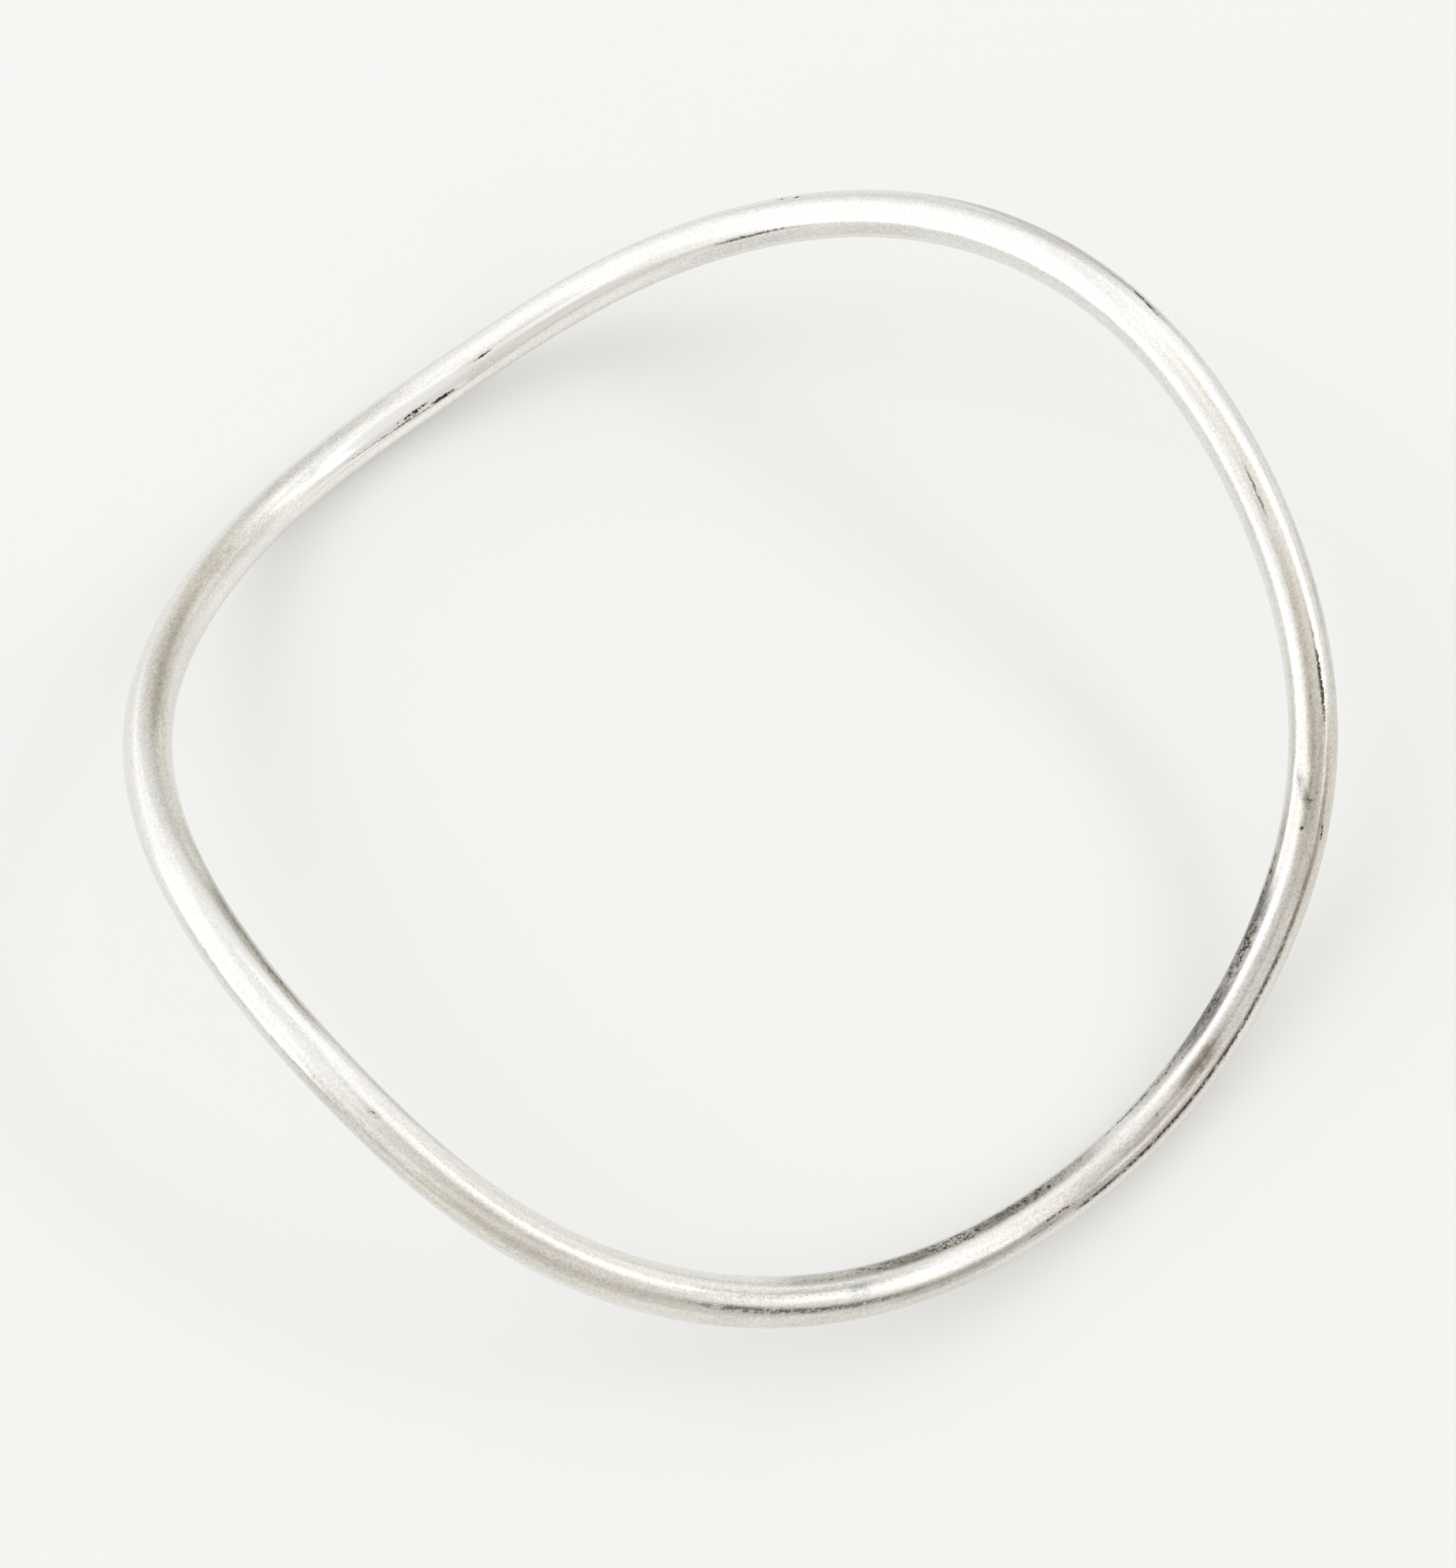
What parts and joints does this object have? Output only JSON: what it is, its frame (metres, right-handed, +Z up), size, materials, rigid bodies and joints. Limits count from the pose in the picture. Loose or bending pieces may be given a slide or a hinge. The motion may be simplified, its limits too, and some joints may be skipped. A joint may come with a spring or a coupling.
{
  "type": "bangle",
  "caption": "Plain silver bangle of round wire, bent into two gentle waves and soldered into one closed ring.",
  "frame": {"origin": "on the surface that the bangle lies on, under the middle of its box", "axes": "+Z up from that surface, +X to the right and +Y away from the viewer as in the picture"},
  "size_m": [0.0722, 0.0714, 0.0199],
  "materials": {
    "silver": "polished sterling silver, lightly worn, with fine scratches and a few small dark marks"
  },
  "bodies": {
    "root": {"bangle": "silver"}
  },
  "joints": []
}
